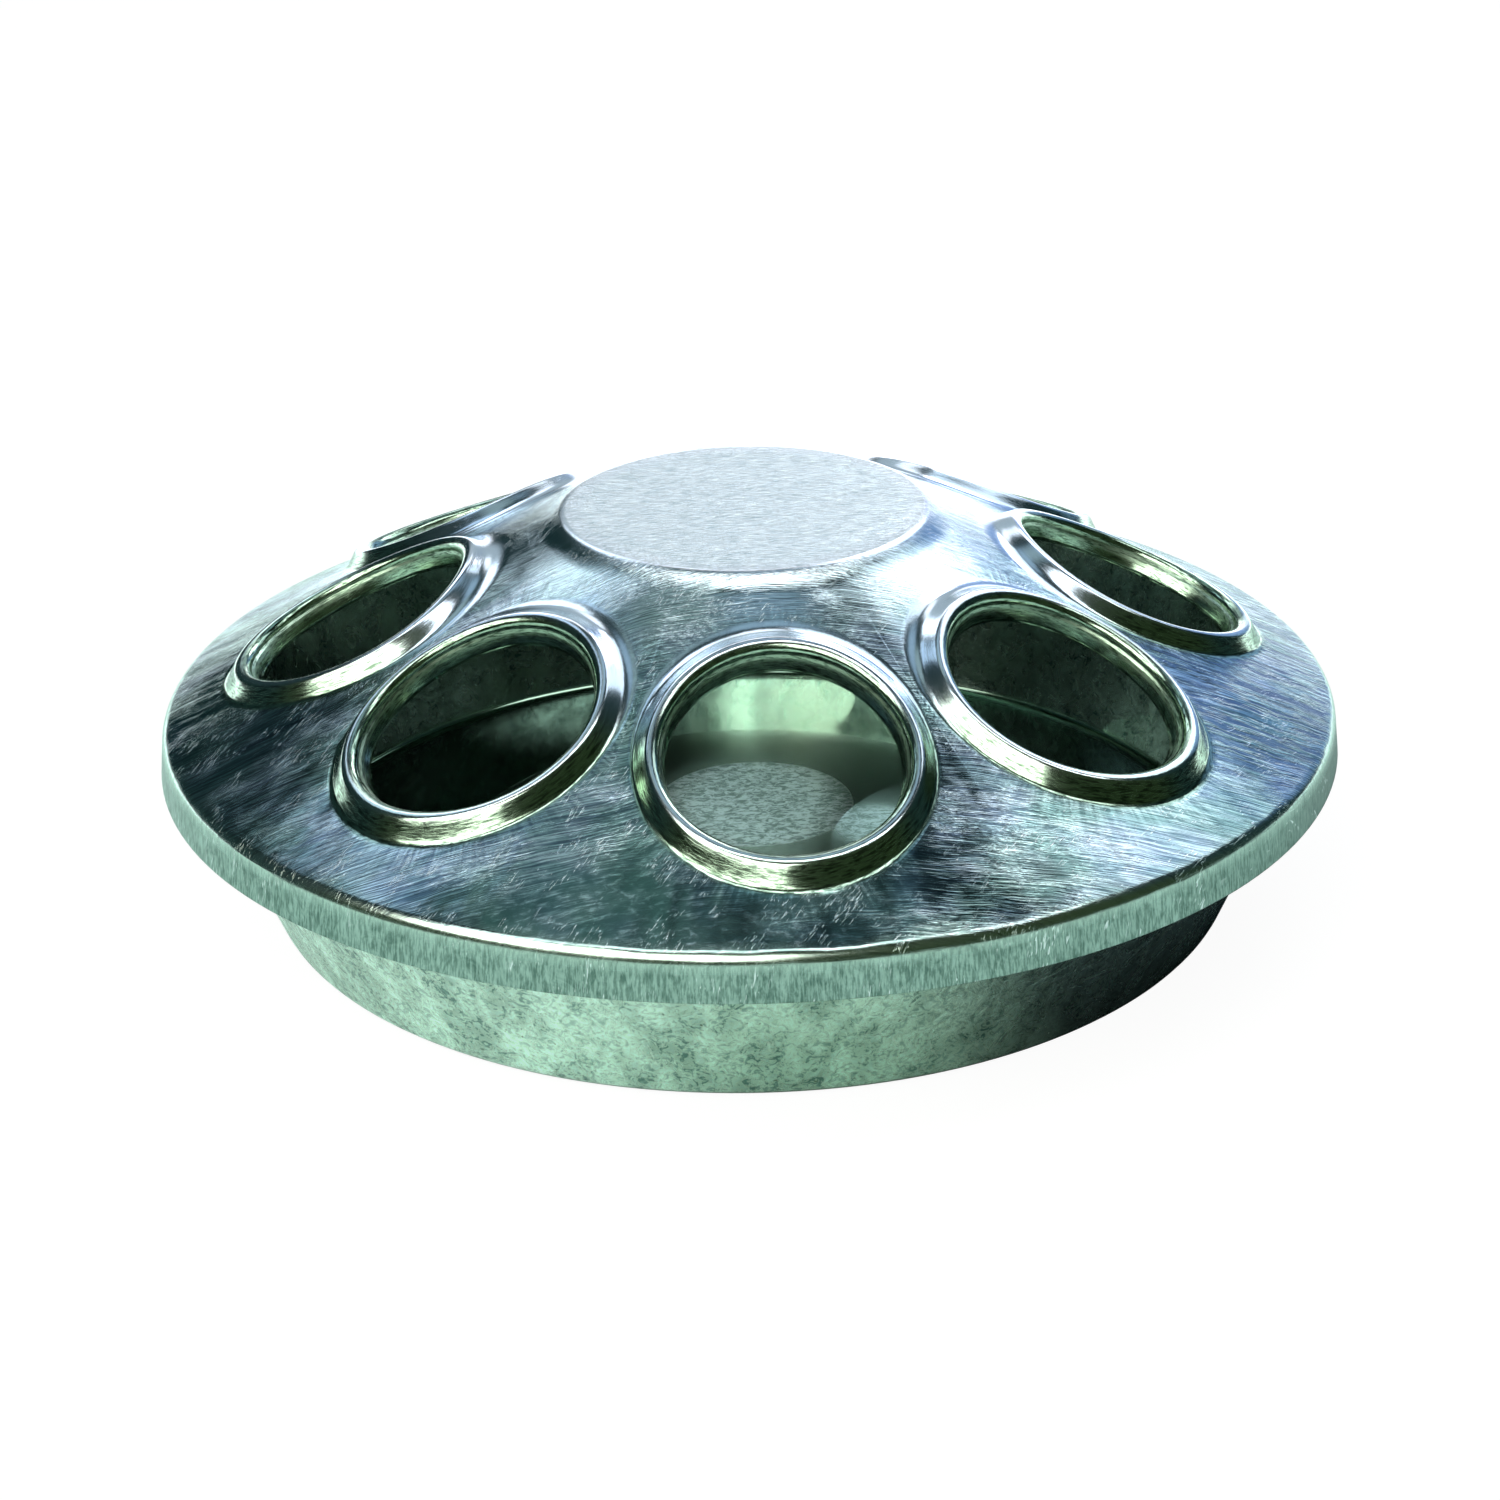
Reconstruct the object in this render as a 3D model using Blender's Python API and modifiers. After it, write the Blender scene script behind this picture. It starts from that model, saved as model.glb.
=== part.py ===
"""A round feeder for chicks: a shallow pressed pan, and a domed lid with eight collared feed holes.

Both pieces are thin galvanised sheet. The lid's skirt fits over the pan's curled rim and its shoulder
rests on it, so that the lid lifts straight off. Metres, +Z up. The origin is under the middle of the
pan, on the surface that it stands on, and the first feed hole faces -Y.
"""

import math

import bmesh
import bpy
from mathutils import Matrix, Vector

# Sheet and fit
SHEET = 0.0005
FIT_GAP = 0.0003

# Pan, whose wall hangs from the rim that the skirt fits over
RIM_HEIGHT = 0.0246
RIM_CURL_RADIUS = 0.0011
RIM_CURL_TURN = math.radians(200)
RIM_LEDGE = 0.00205
RIM_BEND = 0.0010
WALL_LEAN = math.radians(21.9)
FLOOR_BEND = 0.0022
FLOOR_RING = 0.0223
CENTRE_RAISE = 0.0008
CENTRE_BEND = 0.0008

# Lid
SKIRT_RADIUS = 0.0762
SKIRT_DRAFT = 0.0003
SKIRT_HEIGHT = 0.0048
SHOULDER_BEND = 0.0015
LID_RISE = 0.0256
DISC_RADIUS = 0.0234
DISC_BEND = 0.0020
NECK_RUN = 0.0020
NECK_DROP = 0.00155
NECK_BEND = 0.0100

# Feed holes, each in a collar drawn up from the cone
HOLES = 8
HOLE_INSET = 0.0010
COLLAR_GAP = 0.0030
CREST_STRETCH = 1.066
FOOT_STRETCH = 1.12
FLANK_RUN = 0.00185
CREST_ROUND = 0.00065
COLLAR_RISE = 0.0019
FLANGE_DEPTH = 0.0034
FLANGE_RUN = 0.00195

# Finish of the galvanised sheet
PAN_COLOR = (0.42, 0.50, 0.46)
PAN_ROUGHNESS = 0.42
LID_COLOR = (0.40, 0.47, 0.50)
LID_ROUGHNESS = 0.34

# Smoothness of the round shapes
PIECE_STEPS = 48
COLLAR_STEPS = 24
CREST_STEPS = 4
BEND_STEPS = 3
CURL_STEPS = 7
CUTTER_LENGTH = 0.008
MERGE = 0.00001
SHARP_EDGE = math.radians(35)

# Sizes that follow from the ones above
SKIRT_TOP_RADIUS = SKIRT_RADIUS - SKIRT_DRAFT
NECK_RADIUS = DISC_RADIUS + NECK_RUN
CONE_DROP = LID_RISE - NECK_DROP
CONE_ANGLE = math.atan2(CONE_DROP, SKIRT_TOP_RADIUS - NECK_RADIUS)
RIM_CURL_CENTRE_RADIUS = SKIRT_TOP_RADIUS - SHEET - FIT_GAP - RIM_CURL_RADIUS
RIM_CURL_CENTRE_HEIGHT = RIM_HEIGHT - RIM_CURL_RADIUS
WALL_TOP_RADIUS = RIM_CURL_CENTRE_RADIUS - RIM_LEDGE
WALL_FOOT_RADIUS = WALL_TOP_RADIUS - (RIM_HEIGHT - SHEET) * math.tan(WALL_LEAN)
CENTRE_RADIUS = WALL_FOOT_RADIUS - FLOOR_RING
HOLE_CIRCLE_RADIUS = (NECK_RADIUS + SKIRT_TOP_RADIUS) / 2 - HOLE_INSET
COLLAR_FOOT_RADIUS = HOLE_CIRCLE_RADIUS * math.sin(math.pi / HOLES) - COLLAR_GAP / 2
CREST_RADIUS = COLLAR_FOOT_RADIUS - FLANK_RUN
FLANGE_RADIUS = CREST_RADIUS - FLANGE_RUN


def shoulder_height():
    """The height of the lid's shoulder, so that the cone's inner face clears the rim's curl by the fit gap."""
    above_curl = (RIM_CURL_RADIUS + FIT_GAP + SHEET) / math.cos(CONE_ANGLE)
    outwards = SKIRT_TOP_RADIUS - RIM_CURL_CENTRE_RADIUS
    return RIM_CURL_CENTRE_HEIGHT + above_curl - outwards * math.tan(CONE_ANGLE)


def clear_scene():
    for obj in list(bpy.data.objects):
        bpy.data.objects.remove(obj, do_unlink=True)


def new_collection(name):
    collection = bpy.data.collections.new(name)
    bpy.context.scene.collection.children.link(collection)
    return collection


def zinc(name, color, roughness):
    """Galvanised steel."""
    material = bpy.data.materials.new(name)
    material.use_nodes = True
    shader = material.node_tree.nodes["Principled BSDF"]
    shader.inputs["Base Color"].default_value = (*color, 1.0)
    shader.inputs["Roughness"].default_value = roughness
    shader.inputs["Metallic"].default_value = 1.0
    material.diffuse_color = (*color, 1.0)
    return material


def arc(centre, radius, start, end, steps):
    """Points (r, z) on a circle, from the angle start to the angle end, both included."""
    angles = [start + (end - start) * step / steps for step in range(steps + 1)]
    return [(centre[0] + radius * math.cos(a), centre[1] + radius * math.sin(a)) for a in angles]


def bent_outline(corners):
    """The points (r, z) of a line through corners (r, z, bend radius), each corner rounded by its bend."""
    points = [corners[0][:2]]
    for before, corner, after in zip(corners, corners[1:], corners[2:]):
        here = Vector(corner[:2])
        back = (Vector(before[:2]) - here).normalized()
        ahead = (Vector(after[:2]) - here).normalized()
        half_angle = back.angle(ahead) / 2
        centre = here + (back + ahead).normalized() * corner[2] / math.sin(half_angle)
        tangent_length = corner[2] / math.tan(half_angle)
        first = here + back * tangent_length - centre
        last = here + ahead * tangent_length - centre
        start = math.atan2(first.y, first.x)
        turn = math.remainder(math.atan2(last.y, last.x) - start, math.tau)
        points += arc(centre, corner[2], start, start + turn, BEND_STEPS)
    points.append(corners[-1][:2])
    return points


def turned_sheet(name, outline, steps, collection):
    """A sheet of even thickness turned about Z. Its outline is the face on the left of its run."""
    mesh = bpy.data.meshes.new(name)
    edges = [(i, i + 1) for i in range(len(outline) - 1)]
    mesh.from_pydata([(r, 0.0, z) for r, z in outline], edges, [])
    obj = bpy.data.objects.new(name, mesh)
    collection.objects.link(obj)

    screw = obj.modifiers.new("Turn", "SCREW")
    screw.steps = screw.render_steps = steps
    screw.use_merge_vertices = True
    screw.merge_threshold = MERGE
    screw.use_smooth_shade = True

    wall = obj.modifiers.new("Sheet", "SOLIDIFY")
    wall.thickness = SHEET
    wall.offset = -1.0
    wall.use_even_offset = True
    return obj


def pan_outline():
    """The pan's upper face: from the middle of the floor, out, up the wall and round the curled rim."""
    floor = bent_outline(
        [
            (0.0, SHEET + CENTRE_RAISE, 0.0),
            (CENTRE_RADIUS, SHEET + CENTRE_RAISE, CENTRE_BEND),
            (CENTRE_RADIUS + CENTRE_RAISE, SHEET, CENTRE_BEND),
            (WALL_FOOT_RADIUS, SHEET, FLOOR_BEND),
            (WALL_TOP_RADIUS, RIM_HEIGHT, RIM_BEND),
            (RIM_CURL_CENTRE_RADIUS, RIM_HEIGHT, 0.0),
        ]
    )
    curl_centre = (RIM_CURL_CENTRE_RADIUS, RIM_CURL_CENTRE_HEIGHT)
    top = math.pi / 2
    curl = arc(curl_centre, RIM_CURL_RADIUS, top, top - RIM_CURL_TURN, CURL_STEPS)
    return floor[:-1] + curl


def lid_outline():
    """The lid's outer face, with the shoulder's corner at height 0: disc, neck, cone and skirt."""
    return bent_outline(
        [
            (0.0, LID_RISE, 0.0),
            (DISC_RADIUS, LID_RISE, DISC_BEND),
            (NECK_RADIUS, CONE_DROP, NECK_BEND),
            (SKIRT_TOP_RADIUS, 0.0, SHOULDER_BEND),
            (SKIRT_RADIUS, -SKIRT_HEIGHT, 0.0),
        ]
    )


def crest_touch(end, side):
    """The angle at which a straight line from the point end (r, z) touches the crest's round.

    The side is -1 for the flange, inside the crest, and 1 for the flank, outside it.
    """
    run = end[0] - CREST_RADIUS
    rise = end[1] - (COLLAR_RISE - CREST_ROUND)
    return (math.atan2(rise, run) + side * math.acos(CREST_ROUND / math.hypot(run, rise))) % math.tau


def collar_outline():
    """A collar's visible face, with the cone's outer face at height 0: up the flange, over the crest, down."""
    flange_end = (FLANGE_RADIUS, COLLAR_RISE - FLANGE_DEPTH)
    foot = (COLLAR_FOOT_RADIUS, 0.0)
    crest_centre = (CREST_RADIUS, COLLAR_RISE - CREST_ROUND)
    crest = arc(crest_centre, CREST_ROUND, crest_touch(flange_end, -1), crest_touch(foot, 1), CREST_STEPS)
    sunk_foot = (foot[0] + SHEET * flank_lean(crest[-1]), -SHEET)
    return [flange_end, *crest, sunk_foot]


def flank_lean(flank_top):
    """How far the flank runs outwards for each unit that it drops."""
    return (COLLAR_FOOT_RADIUS - flank_top[0]) / flank_top[1]


def hole_cut_radius():
    """The lid's sheet is cut at the middle of the flank's sheet, halfway down its own thickness."""
    lean = flank_lean(collar_outline()[-2])
    flank_width = SHEET * math.hypot(1.0, lean)
    return COLLAR_FOOT_RADIUS + lean * SHEET / 2 - flank_width / 2


def slope_stretch(radius):
    """How much longer a collar's circle of this radius is down the slope than across it."""
    down_flank = max(0.0, radius - CREST_RADIUS) / (COLLAR_FOOT_RADIUS - CREST_RADIUS)
    return CREST_STRETCH + (FOOT_STRETCH - CREST_STRETCH) * down_flank


def finish(obj, name, material):
    """Gives the object the mesh that its modifiers make, shaded smooth but for its sharp edges."""
    graph = bpy.context.evaluated_depsgraph_get()
    mesh = bpy.data.meshes.new_from_object(obj.evaluated_get(graph))
    obj.modifiers.clear()
    rough = obj.data
    obj.data = mesh
    bpy.data.meshes.remove(rough)
    mesh.name = name
    mesh.shade_smooth()
    mesh.set_sharp_from_angle(angle=SHARP_EDGE)
    mesh.materials.clear()
    mesh.materials.append(material)


def collar_mesh(collection):
    """One collar's sheet, stretched down the slope and sunk at its sides, as the round cone falls away."""
    ring = turned_sheet("collar_ring", collar_outline(), COLLAR_STEPS, collection)
    graph = bpy.context.evaluated_depsgraph_get()
    mesh = bpy.data.meshes.new_from_object(ring.evaluated_get(graph))
    bpy.data.objects.remove(ring, do_unlink=True)
    for vertex in mesh.vertices:
        vertex.co.x *= slope_stretch(math.hypot(vertex.co.x, vertex.co.y))
        radius = HOLE_CIRCLE_RADIUS + vertex.co.x * math.cos(CONE_ANGLE)
        vertex.co.z -= math.sin(CONE_ANGLE) * vertex.co.y**2 / (2 * radius)
    return mesh


def hole_cutter_mesh():
    mesh = bpy.data.meshes.new("hole_cutter")
    work = bmesh.new()
    radius = hole_cut_radius()
    bmesh.ops.create_cone(
        work,
        cap_ends=True,
        segments=COLLAR_STEPS,
        radius1=radius,
        radius2=radius,
        depth=CUTTER_LENGTH,
    )
    bmesh.ops.scale(work, vec=(slope_stretch(radius), 1.0, 1.0), verts=work.verts)
    work.to_mesh(mesh)
    work.free()
    return mesh


def hole_places():
    """Where each hole meets the cone, on the lid: its Z stands square to the cone, its X runs down the slope."""
    height = (SKIRT_TOP_RADIUS - HOLE_CIRCLE_RADIUS) * math.tan(CONE_ANGLE)
    on_cone = Matrix.Translation((HOLE_CIRCLE_RADIUS, 0.0, height)) @ Matrix.Rotation(CONE_ANGLE, 4, "Y")
    first = -math.pi / 2
    return [Matrix.Rotation(first + math.tau * hole / HOLES, 4, "Z") @ on_cone for hole in range(HOLES)]


def helpers(name, mesh, lid, collection):
    """A hidden object of this mesh at each hole."""
    for number, place in enumerate(hole_places(), start=1):
        helper = bpy.data.objects.new(f"{name}_{number}", mesh)
        collection.objects.link(helper)
        helper.parent = lid
        helper.matrix_local = place
        helper.hide_render = True
        helper.display_type = "WIRE"


def combine(obj, operation, collection):
    boolean = obj.modifiers.new(operation.title(), "BOOLEAN")
    boolean.operation = operation
    boolean.operand_type = "COLLECTION"
    boolean.collection = collection


def make_pan(collection):
    pan = turned_sheet("pan", pan_outline(), PIECE_STEPS, collection)
    finish(pan, "pan", zinc("pan_zinc", PAN_COLOR, PAN_ROUGHNESS))


def make_lid(collection):
    lid = turned_sheet("lid", lid_outline(), PIECE_STEPS, collection)
    lid.location.z = shoulder_height()
    cutters = new_collection("hole_cutters")
    collars = new_collection("collar_sheets")
    helpers("hole_cutter", hole_cutter_mesh(), lid, cutters)
    helpers("collar", collar_mesh(collars), lid, collars)
    bpy.context.view_layer.update()
    combine(lid, "DIFFERENCE", cutters)
    combine(lid, "UNION", collars)
    finish(lid, "lid", zinc("lid_zinc", LID_COLOR, LID_ROUGHNESS))


def main():
    clear_scene()
    feeder = new_collection("chick_feeder")
    make_pan(feeder)
    make_lid(feeder)


main()
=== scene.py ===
"""The looks of the round chick feeder: its two galvanised sheets, the studio round them and the camera.

Shapes are worked out in millimetres, in the frame of the model: +Z up, the first feed hole facing -Y.
A pair of numbers that is named for an effect says where the effect begins and where it is full. Two more
numbers after such a pair are how strong the effect is at the one and at the other.
"""

import math

import bpy
import numpy as np
from mathutils import Matrix, Vector


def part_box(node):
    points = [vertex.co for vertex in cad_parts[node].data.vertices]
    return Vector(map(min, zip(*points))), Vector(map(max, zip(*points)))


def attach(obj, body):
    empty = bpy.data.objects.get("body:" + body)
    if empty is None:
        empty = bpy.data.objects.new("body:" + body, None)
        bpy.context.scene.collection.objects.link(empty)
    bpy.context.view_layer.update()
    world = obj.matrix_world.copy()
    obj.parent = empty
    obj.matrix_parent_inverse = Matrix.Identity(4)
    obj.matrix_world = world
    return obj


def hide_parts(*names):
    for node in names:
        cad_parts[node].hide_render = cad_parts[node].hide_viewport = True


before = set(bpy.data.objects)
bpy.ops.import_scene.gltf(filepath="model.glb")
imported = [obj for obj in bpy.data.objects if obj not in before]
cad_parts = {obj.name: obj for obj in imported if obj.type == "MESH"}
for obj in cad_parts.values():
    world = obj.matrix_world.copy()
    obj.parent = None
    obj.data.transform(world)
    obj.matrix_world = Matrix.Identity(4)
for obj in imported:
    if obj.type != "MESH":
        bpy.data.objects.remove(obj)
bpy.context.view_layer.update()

MM = 0.001
CENTIMETRE = 10.0

lid_low, lid_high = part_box("lid")
pan_low, pan_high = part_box("pan")

# Sheet, and the columns of a turned surface
SHEET = 0.5
COLUMNS = 192

# Lid. Its skirt and shoulder are a little taller and rounder than the model's, as the photograph has them
SKIRT_RADIUS = lid_high.x / MM
SKIRT_FOOT = lid_low.z / MM
LID_TOP = lid_high.z / MM
SKIRT_DRAFT = 0.6
SKIRT_HEIGHT = 5.4
SHOULDER_BEND = 2.0
DISC_RADIUS = 23.4
DISC_BEND = 1.6
NECK_RUN = 2.0
NECK_DROP = 1.55
NECK_BEND = 10.0

# Feed holes and their collars, whose feet are bent wider at the uphill side than elsewhere
HOLES = 8
HOLE_CIRCLE = 49.65
CREST_STRETCH = 1.066
FOOT_STRETCH = 1.12
CREST_RADIUS = 15.65
CREST_OUTER_ROUND = 0.65
CREST_INNER_ROUND = 1.2
CREST_INNER_TURN = math.radians(82)
COLLAR_RISE = 1.9
COLLAR_FOOT_RADIUS = 17.5
COLLAR_FOOT_BEND = 0.7
COLLAR_BASE_RADIUS = 18.05
UPHILL_FOOT_BEND = 2.1
UPHILL_BASE_RADIUS = 18.75
UPHILL_SIDE = (0.1, 0.9)
LEDGE_TOP = (14.43, 0.62)
LEDGE_WAY_UP = (0.02, 0.2)
LEDGE_FOOT = (14.20, 0.28)
LEDGE_BEND = 0.15
FLANGE_END = (13.70, -1.50)

# The part of the cone that is laid out hole by hole
FIELD_INNER = 27.5
FIELD_OUTER = 71.5
FIELD_ROWS = 12
FIELD_CROWDING = 1.25
STATIONS = 24
FALL_STEPS = 6

# Pan, as in the model
RIM_HEIGHT = pan_high.z / MM
CURL_RADIUS = 1.1
CURL_TURN = math.radians(200)
CURL_CENTRE = 74.0
RIM_BEND = 1.0
WALL_TOP = 71.95
WALL_LEAN = math.radians(21.9)
FLOOR_BEND = 2.2
FLOOR_RING = 22.3
CENTRE_RAISE = 0.8
CENTRE_BEND = 0.8

# Sizes that follow from the ones above
SHOULDER = SKIRT_FOOT + SKIRT_HEIGHT
SKIRT_TOP = SKIRT_RADIUS - SKIRT_DRAFT
NECK_RADIUS = DISC_RADIUS + NECK_RUN
CONE_TOP = LID_TOP - NECK_DROP
CONE_SLOPE = (CONE_TOP - SHOULDER) / (SKIRT_TOP - NECK_RADIUS)
CONE_ANGLE = math.atan(CONE_SLOPE)
WALL_FOOT = WALL_TOP - (RIM_HEIGHT - SHEET) * math.tan(WALL_LEAN)
CENTRE_RADIUS = WALL_FOOT - FLOOR_RING

# Into how many steps each bend is divided, and the longest step of a straight run
BEND_STEPS = 6
BRIM_BEND_STEPS = 9
LEDGE_BEND_STEPS = 3
CREST_INNER_STEPS = 9
CREST_OUTER_STEPS = 5
FLANGE_STEPS = 4
FLANK_STEPS = 3
CURL_STEPS = 14
HEAD_LONGEST = 3.0
BRIM_LONGEST = 1.2
PAN_LONGEST = 2.5
SKIRT_LAST_ROW = 0.08

# Ripples left by pressing: how many waves go round the cone, and how deep each kind is
RIPPLE_DEPTHS = {3: 0.020, 7: 0.024, 12: 0.030, 19: 0.034, 27: 0.024, 41: 0.008}
RIPPLE_SEED = 11
RIPPLE_TWIST = 0.02
RIPPLE_MARGIN = 4.0
RIPPLE_ONSET = 2.5
WALL_RIPPLE = 0.8
WALL_RIPPLE_RISE = 3.0

# Marks on the lid's sheet, which its finish follows
DISC_MARK = (0.2, 1.6)
DISC_EDGE_INSET = 0.2
DISC_EDGE_WIDTH = 0.5
SKIRT_MARK = (0.25, 0.8)
SHOULDER_EDGE_WIDTH = 0.9
COLLAR_MARK = (-0.5, 0.15)
CREST_MARK_WIDTH = 0.45
NEAR_MARK_LENGTH = 3.0

# The photograph's camera
LENS = 76.63
SENSOR = 36.0
CAMERA_TURN = math.radians(-4.677)
CAMERA_PLACE = Vector((0.084, -383.66, 189.29)) * MM
CAMERA_DIP = math.radians(90 - 24.305)
CAMERA_ROLL = math.radians(-1.148)
NEAREST_SEEN = 0.01


def new_object(name, data):
    obj = bpy.data.objects.new(name, data)
    bpy.context.scene.collection.objects.link(obj)
    return obj


def smooth_step(low, high, value):
    """0 below low, 1 above high, and an S curve between them."""
    share = np.clip((value - low) / (high - low), 0.0, 1.0)
    return share * share * (3.0 - 2.0 * share)


def bell(distance, width):
    """1 at no distance, and almost 0 at two widths to either side."""
    return np.exp(-((distance / width) ** 2))


def arc(centre, radius, start, turn, steps):
    """Points on a circle, from the angle start on through the angle turn."""
    angles = start + turn * np.linspace(0.0, 1.0, steps + 1)
    return np.asarray(centre) + radius * np.stack([np.cos(angles), np.sin(angles)], axis=-1)


def rounded(corners, steps):
    """A line through corners (x, y, bend radius), where each bend is an arc tangent to both its sides."""
    points = [np.array([corners[0][:2]])]
    for before, corner, after in zip(corners, corners[1:], corners[2:]):
        here = Vector(corner[:2])
        back = (Vector(before[:2]) - here).normalized()
        ahead = (Vector(after[:2]) - here).normalized()
        half_angle = back.angle(ahead) / 2
        centre = here + (back + ahead).normalized() * corner[2] / math.sin(half_angle)
        tangent = corner[2] / math.tan(half_angle)
        first = here + back * tangent - centre
        last = here + ahead * tangent - centre
        start = math.atan2(first.y, first.x)
        turn = math.remainder(math.atan2(last.y, last.x) - start, math.tau)
        points.append(arc(centre, corner[2], start, turn, steps))
    points.append(np.array([corners[-1][:2]]))
    return np.concatenate(points)


def refined(outline, longest):
    """The same line with its long straight runs divided, so that no step is longer than longest."""
    pieces = []
    for start, end in zip(outline, outline[1:]):
        count = max(1, math.ceil(np.linalg.norm(end - start) / longest))
        pieces.append(start + (end - start) * np.arange(count)[:, None] / count)
    return np.concatenate([*pieces, outline[-1:]])


def run_length(outline):
    """How far along the line each of its points lies."""
    steps = np.linalg.norm(np.diff(outline, axis=0), axis=1)
    return np.concatenate([[0.0], np.cumsum(steps)])


def column_angles():
    """The angles of the columns of a turned sheet, starting halfway between two holes."""
    return -math.pi / 2 - math.pi / HOLES + math.tau * np.arange(COLUMNS) / COLUMNS


def turned(radius, height):
    """Point (i, j) is the outline's point i turned about Z to column j; both may differ by column."""
    angles = column_angles()
    x, y, z = np.broadcast_arrays(radius * np.cos(angles), radius * np.sin(angles), height)
    return np.stack([x, y, z], axis=-1)


def ring_faces(rows, columns):
    """Quads between neighbouring rows of a grid whose last column joins its first. They face away from the
    side where rows turn into columns."""
    here = np.arange(rows * columns).reshape(rows, columns)
    ahead = np.roll(here, -1, axis=1)
    quads = [here[:-1], here[1:], ahead[1:], ahead[:-1]]
    return np.stack(quads, axis=-1).reshape(-1, 4)


def ripple(x, y):
    """The slight waves that pressing leaves round a cone: a sum of cosines of the angle, each of which leans
    by its own twist for each centimetre outwards."""
    waves = np.random.default_rng(RIPPLE_SEED)
    angle = np.arctan2(y, x)
    radius = np.hypot(x, y)
    total = np.zeros(np.shape(angle))
    for order, depth in RIPPLE_DEPTHS.items():
        phase = waves.uniform(0.0, math.tau)
        twist = waves.uniform(-RIPPLE_TWIST, RIPPLE_TWIST)
        leaning = angle + twist * (radius - HOLE_CIRCLE) / CENTIMETRE
        total += depth * np.cos(order * leaning + phase)
    return total


def cone_height(radius):
    """The cone's outer face at a distance from the axis."""
    return SHOULDER + (SKIRT_TOP - radius) * CONE_SLOPE


def slope_stretch(radius):
    """How much longer a collar's circle of this radius is down the slope than across it."""
    down_flank = np.maximum(0.0, radius - CREST_RADIUS) / (COLLAR_FOOT_RADIUS - CREST_RADIUS)
    return CREST_STRETCH + (FOOT_STRETCH - CREST_STRETCH) * down_flank


def on_hole(down, across, height):
    """Points of the first sector, given by their run down the slope from the hole's middle, their run across
    it and their height over the cone, measured along the hole's axis.

    The cone falls away from the hole's flat plane at both sides. The fall at each point is found by
    stepping: each step puts the plane's point, sunk by the fall, back on the cone.
    """
    cos, sin = math.cos(CONE_ANGLE), math.sin(CONE_ANGLE)
    fall = np.zeros(np.shape(down))
    for _ in range(FALL_STEPS):
        reach = np.hypot(HOLE_CIRCLE + down * cos - fall * sin, across)
        fall = ((reach - HOLE_CIRCLE) * CONE_SLOPE - down * sin) / cos
    lift = height - fall
    out = HOLE_CIRCLE + down * cos + lift * sin
    up = cone_height(HOLE_CIRCLE) - down * sin + lift * cos
    return np.stack([out, across, up], axis=-1)


def collar_outline(foot_bend, base_radius):
    """A collar's visible face as (distance from the hole's axis, height over the cone), from the flange's
    raw end up over its ledge, round the crest, down the flank and out through the foot's bend."""
    above_ledge = (LEDGE_TOP[0] + LEDGE_WAY_UP[0], LEDGE_TOP[1] + LEDGE_WAY_UP[1], 0.0)
    ledge = rounded([(*FLANGE_END, 0.0), (*LEDGE_FOOT, LEDGE_BEND), (*LEDGE_TOP, LEDGE_BEND), above_ledge],
                    LEDGE_BEND_STEPS)
    inner_centre = (CREST_RADIUS, COLLAR_RISE - CREST_INNER_ROUND)
    inner_start = math.pi / 2 + CREST_INNER_TURN
    inner = arc(inner_centre, CREST_INNER_ROUND, inner_start, -CREST_INNER_TURN, CREST_INNER_STEPS)
    run = COLLAR_FOOT_RADIUS - CREST_RADIUS
    rise = COLLAR_RISE - CREST_OUTER_ROUND
    touch = math.acos(CREST_OUTER_ROUND / math.hypot(run, rise)) - math.atan2(rise, run)
    outer_centre = (CREST_RADIUS, COLLAR_RISE - CREST_OUTER_ROUND)
    outer = arc(outer_centre, CREST_OUTER_ROUND, math.pi / 2, touch - math.pi / 2, CREST_OUTER_STEPS)
    foot = rounded([(*outer[-1], 0.0), (COLLAR_FOOT_RADIUS, 0.0, foot_bend), (base_radius, 0.0, 0.0)],
                   BEND_STEPS)
    down_flank = np.linspace(0.0, 1.0, FLANK_STEPS + 1)[1:-1, None]
    flank = outer[-1] + (foot[1] - outer[-1]) * down_flank
    up_flange = np.linspace(0.0, 1.0, FLANGE_STEPS + 1)[:-1, None]
    flange = ledge[0] + (ledge[1] - ledge[0]) * up_flange
    return np.concatenate([flange, ledge[1:-1], inner, outer[1:], flank, foot[1:]])


def field_boundary():
    """The edge of one sector of the cone as (x, y), anticlockwise from the middle of its outer arc: along
    the outer arc, up one side, along the inner arc and down the other side."""
    half = math.pi / HOLES
    share = np.arange(STATIONS) / STATIONS
    whole = np.ones(STATIONS)
    inwards = FIELD_OUTER + (FIELD_INNER - FIELD_OUTER) * share
    angle = np.concatenate([-half + 2 * half * share, half * whole, half - 2 * half * share, -half * whole])
    radius = np.concatenate([FIELD_OUTER * whole, inwards, FIELD_INNER * whole,
                             FIELD_OUTER + FIELD_INNER - inwards])
    edge = np.stack([radius * np.cos(angle), radius * np.sin(angle)], axis=-1)
    return np.roll(edge, -STATIONS // 2, axis=0)


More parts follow.
